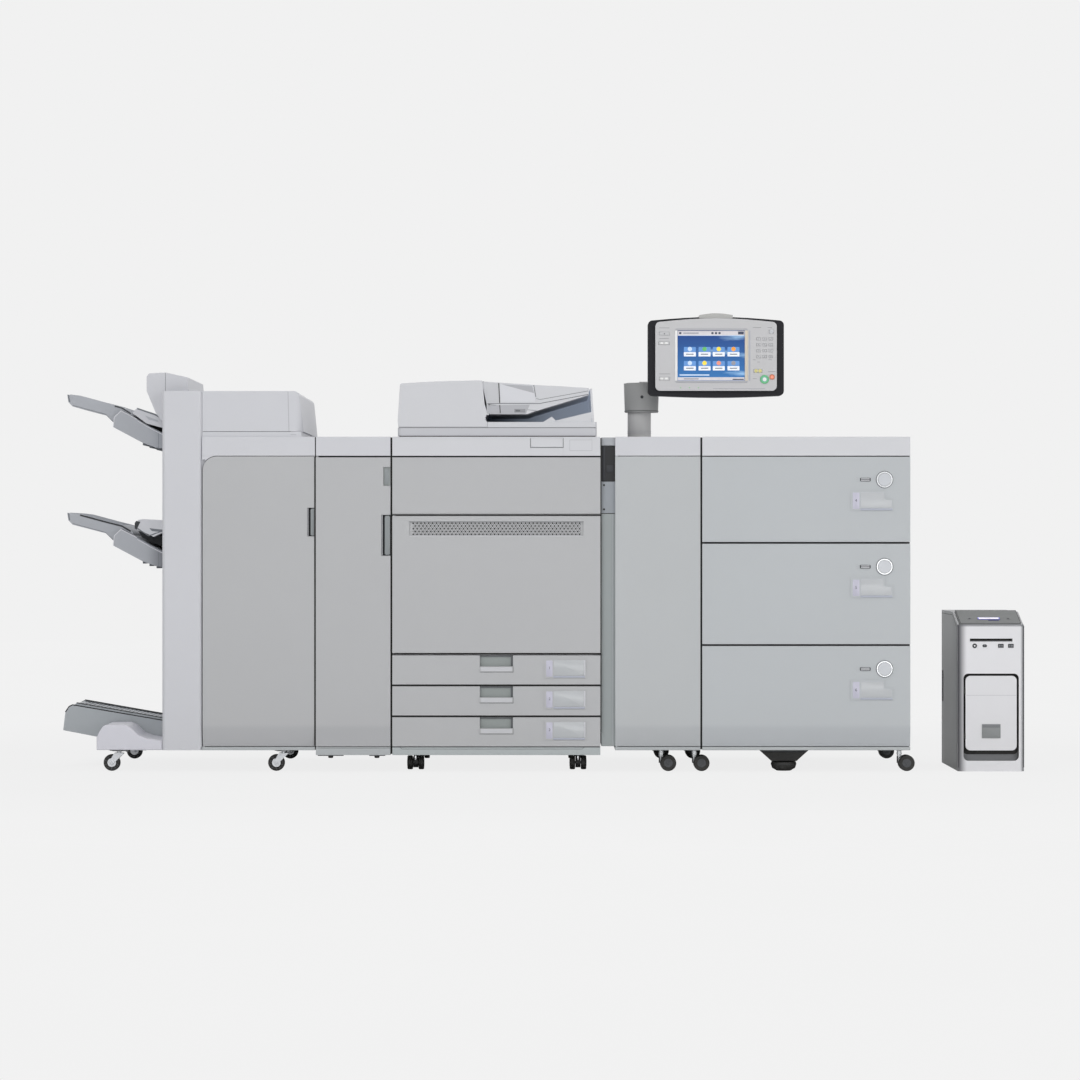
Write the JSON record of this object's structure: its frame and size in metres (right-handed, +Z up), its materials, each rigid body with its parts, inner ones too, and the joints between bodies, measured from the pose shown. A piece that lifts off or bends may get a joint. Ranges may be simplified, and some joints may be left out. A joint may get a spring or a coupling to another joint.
{
  "type": "digital production printer",
  "caption": "Cabinet line for printing: finisher with stacking trays, coupling module, engine with document feeder, relay module with swivelling console, drawer deck, and a server beside it.",
  "frame": {"origin": "Middle of the whole set's footprint, on the floor.", "axes": "+X along the line from the finisher to the paper deck and the server, +Y from the operator's side towards the rear, +Z up."},
  "size_m": [3.015, 0.855, 1.4299],
  "materials": {
    "light_cover": "light lavender-grey moulded covers",
    "grey_cover": "mid-grey front covers",
    "cabinet": "painted sheet panels",
    "tray": "grey stacking trays",
    "duct": "grey duct and console arm",
    "inner": "dark inner units",
    "toner": "toner bottles",
    "rollers": "roller shafts",
    "glass": "platen glass",
    "console_dark": "charcoal console housing",
    "console_light": "light console face",
    "screen": "touch screen",
    "keys": "soft grey keys",
    "start": "green start key",
    "stop": "orange-red stop key",
    "button": "drawer push buttons",
    "foot": "black foot",
    "server_dark": "grey server case",
    "server_light": "silver server face",
    "server_top": "dark sloping server panel",
    "forks": "caster forks and hoods",
    "wheels": "caster wheels"
  },
  "bodies": {
    "line": {"finisher_frame": "cabinet", "finisher_column": "light_cover", "finisher_hood": "light_cover", "finisher_head": "light_cover", "stapling_units": "inner", "booklet_foot": "light_cover", "booklet_tray": "tray", "coupler_cabinet": "cabinet", "transport_rollers": "rollers", "engine_frame": "cabinet", "toner_bottles": "toner", "drum_units": "inner", "transfer_unit": "inner", "fuser_unit": "inner", "reader_housing": "light_cover", "platen_glass": "glass", "feed_duct": "duct", "relay_cabinet": "cabinet", "console_post": "duct", "deck_cabinet": "cabinet", "deck_foot": "foot", "server_case": "server_dark", "server_bezel": "server_light", "server_panel": "server_top", "caster_forks": "forks"},
    "finisher_door": {"finisher_door": "grey_cover"},
    "upper_tray": {"upper_tray": "tray"},
    "lower_tray": {"lower_tray": "tray"},
    "coupler_door": {"coupler_door": "grey_cover"},
    "toner_cover": {"toner_cover": "grey_cover"},
    "front_cover": {"front_cover": "grey_cover"},
    "paper_drawer_1": {"paper_drawer_1": "grey_cover"},
    "paper_drawer_2": {"paper_drawer_2": "grey_cover"},
    "paper_drawer_3": {"paper_drawer_3": "grey_cover"},
    "power_flap": {"power_flap": "light_cover"},
    "feeder_base": {"feeder_base": "light_cover"},
    "feed_cover": {"feed_cover": "light_cover"},
    "original_tray": {"original_tray": "light_cover"},
    "relay_door": {"relay_door": "grey_cover"},
    "console_arm": {"console_arm": "duct"},
    "console": {"console_back": "console_dark", "console_bezel": "console_light", "console_screen": "screen"},
    "keypad": {"keypad": "keys"},
    "start_key": {"start_key": "start"},
    "stop_key": {"stop_key": "stop"},
    "deck_drawer_1": {"deck_drawer_1": "grey_cover"},
    "deck_button_1": {"deck_button_1": "button"},
    "deck_drawer_2": {"deck_drawer_2": "grey_cover"},
    "deck_button_2": {"deck_button_2": "button"},
    "deck_drawer_3": {"deck_drawer_3": "grey_cover"},
    "deck_button_3": {"deck_button_3": "button"},
    "server_door": {"server_door": "server_light"},
    "finisher_wheels_left": {"finisher_wheels_left": "wheels"},
    "finisher_wheels_right": {"finisher_wheels_right": "wheels"},
    "engine_wheels_front": {"engine_wheels_front": "wheels"},
    "engine_wheels_rear": {"engine_wheels_rear": "wheels"},
    "relay_wheels": {"relay_wheels": "wheels"},
    "deck_wheels_left": {"deck_wheels_left": "wheels"},
    "deck_wheels_right": {"deck_wheels_right": "wheels"}
  },
  "joints": [
    {"name": "finisher_door_hinge", "type": "hinge", "parent": "line", "child": "finisher_door", "pos_m": [-1.0415, -0.421, 0.5], "axis": [0, 0, -1], "range_deg": [0, 95]},
    {"name": "upper_tray_lift", "type": "slide", "parent": "line", "child": "upper_tray", "axis": [0, 0, 1], "range_m": [-0.15, 0]},
    {"name": "lower_tray_lift", "type": "slide", "parent": "line", "child": "lower_tray", "axis": [0, 0, 1], "range_m": [-0.35, 0]},
    {"name": "coupler_door_hinge", "type": "hinge", "parent": "line", "child": "coupler_door", "pos_m": [-0.6905, -0.421, 0.5], "axis": [0, 0, -1], "range_deg": [0, 95]},
    {"name": "toner_cover_hinge", "type": "hinge", "parent": "line", "child": "toner_cover", "pos_m": [-0.135, -0.419, 0.805], "axis": [1, 0, 0], "range_deg": [0, 80]},
    {"name": "front_cover_hinge", "type": "hinge", "parent": "line", "child": "front_cover", "pos_m": [-0.4535, -0.421, 0.58], "axis": [0, 0, -1], "range_deg": [0, 90]},
    {"name": "paper_drawer_1_slide", "type": "slide", "parent": "line", "child": "paper_drawer_1", "axis": [0, -1, 0], "range_m": [0, 0.42]},
    {"name": "paper_drawer_2_slide", "type": "slide", "parent": "line", "child": "paper_drawer_2", "axis": [0, -1, 0], "range_m": [0, 0.42]},
    {"name": "paper_drawer_3_slide", "type": "slide", "parent": "line", "child": "paper_drawer_3", "axis": [0, -1, 0], "range_m": [0, 0.42]},
    {"name": "power_flap_hinge", "type": "hinge", "parent": "line", "child": "power_flap", "pos_m": [0.0215, -0.423, 1.0093], "axis": [1, 0, 0], "range_deg": [0, 90]},
    {"name": "feeder_hinge", "type": "hinge", "parent": "line", "child": "feeder_base", "pos_m": [-0.1325, 0.165, 1.0525], "axis": [-1, 0, 0], "range_deg": [0, 65]},
    {"name": "feed_cover_hinge", "type": "hinge", "parent": "feeder_base", "child": "feed_cover", "pos_m": [-0.43983, -0.173, 1.0701], "axis": [0, -1, 0], "range_deg": [0, 60]},
    {"name": "original_tray_hinge", "type": "hinge", "parent": "feeder_base", "child": "original_tray", "pos_m": [-0.1751, -0.173, 1.21199], "axis": [0, -1, 0], "range_deg": [0, 30]},
    {"name": "relay_door_hinge", "type": "hinge", "parent": "line", "child": "relay_door", "pos_m": [0.2375, -0.421, 0.5], "axis": [0, 0, -1], "range_deg": [0, 95]},
    {"name": "console_swivel", "type": "hinge", "parent": "line", "child": "console_arm", "pos_m": [0.3155, -0.155, 1.1243], "axis": [0, 0, 1], "range_deg": [-60, 30]},
    {"name": "console_tilt", "type": "hinge", "parent": "console_arm", "child": "console", "pos_m": [0.5515, -0.239, 1.234], "axis": [1, 0, 0], "range_deg": [-30, 10]},
    {"name": "keypad_press", "type": "slide", "parent": "console", "child": "keypad", "axis": [0, 1, 0], "range_m": [0, 0.0012], "stiffness_N_per_m": 300, "springref_m": -0.0005},
    {"name": "start_key_press", "type": "slide", "parent": "console", "child": "start_key", "axis": [0, 1, 0], "range_m": [0, 0.0015], "stiffness_N_per_m": 300, "springref_m": -0.0005},
    {"name": "stop_key_press", "type": "slide", "parent": "console", "child": "stop_key", "axis": [0, 1, 0], "range_m": [0, 0.0015], "stiffness_N_per_m": 300, "springref_m": -0.0005},
    {"name": "deck_drawer_1_slide", "type": "slide", "parent": "line", "child": "deck_drawer_1", "axis": [0, -1, 0], "range_m": [0, 0.55]},
    {"name": "deck_button_1_press", "type": "slide", "parent": "deck_drawer_1", "child": "deck_button_1", "axis": [0, 1, 0], "range_m": [0, 0.003], "stiffness_N_per_m": 600, "springref_m": -0.001},
    {"name": "deck_drawer_2_slide", "type": "slide", "parent": "line", "child": "deck_drawer_2", "axis": [0, -1, 0], "range_m": [0, 0.55]},
    {"name": "deck_button_2_press", "type": "slide", "parent": "deck_drawer_2", "child": "deck_button_2", "axis": [0, 1, 0], "range_m": [0, 0.003], "stiffness_N_per_m": 600, "springref_m": -0.001},
    {"name": "deck_drawer_3_slide", "type": "slide", "parent": "line", "child": "deck_drawer_3", "axis": [0, -1, 0], "range_m": [0, 0.55]},
    {"name": "deck_button_3_press", "type": "slide", "parent": "deck_drawer_3", "child": "deck_button_3", "axis": [0, 1, 0], "range_m": [0, 0.003], "stiffness_N_per_m": 600, "springref_m": -0.001},
    {"name": "server_door_hinge", "type": "hinge", "parent": "line", "child": "server_door", "pos_m": [1.3208, -0.3825, 0.18], "axis": [0, 0, -1], "range_deg": [0, 90]},
    {"name": "finisher_wheels_left_spin", "type": "hinge", "parent": "line", "child": "finisher_wheels_left", "pos_m": [-1.3345, -0.045, 0.026], "axis": [0, 1, 0], "continuous": true},
    {"name": "finisher_wheels_right_spin", "type": "hinge", "parent": "line", "child": "finisher_wheels_right", "pos_m": [-0.8215, -0.045, 0.026], "axis": [0, 1, 0], "continuous": true},
    {"name": "engine_wheels_front_spin", "type": "hinge", "parent": "line", "child": "engine_wheels_front", "pos_m": [-0.135, -0.285, 0.022], "axis": [1, 0, 0], "continuous": true},
    {"name": "engine_wheels_rear_spin", "type": "hinge", "parent": "line", "child": "engine_wheels_rear", "pos_m": [-0.135, 0.285, 0.022], "axis": [1, 0, 0], "continuous": true},
    {"name": "relay_wheels_spin", "type": "hinge", "parent": "line", "child": "relay_wheels", "pos_m": [0.39982, -0.035, 0.025], "axis": [0, 1, 0], "continuous": true},
    {"name": "deck_wheels_left_spin", "type": "hinge", "parent": "line", "child": "deck_wheels_left", "pos_m": [0.5035, -0.035, 0.025], "axis": [0, 1, 0], "continuous": true},
    {"name": "deck_wheels_right_spin", "type": "hinge", "parent": "line", "child": "deck_wheels_right", "pos_m": [1.1425, -0.035, 0.025], "axis": [0, 1, 0], "continuous": true}
  ]
}
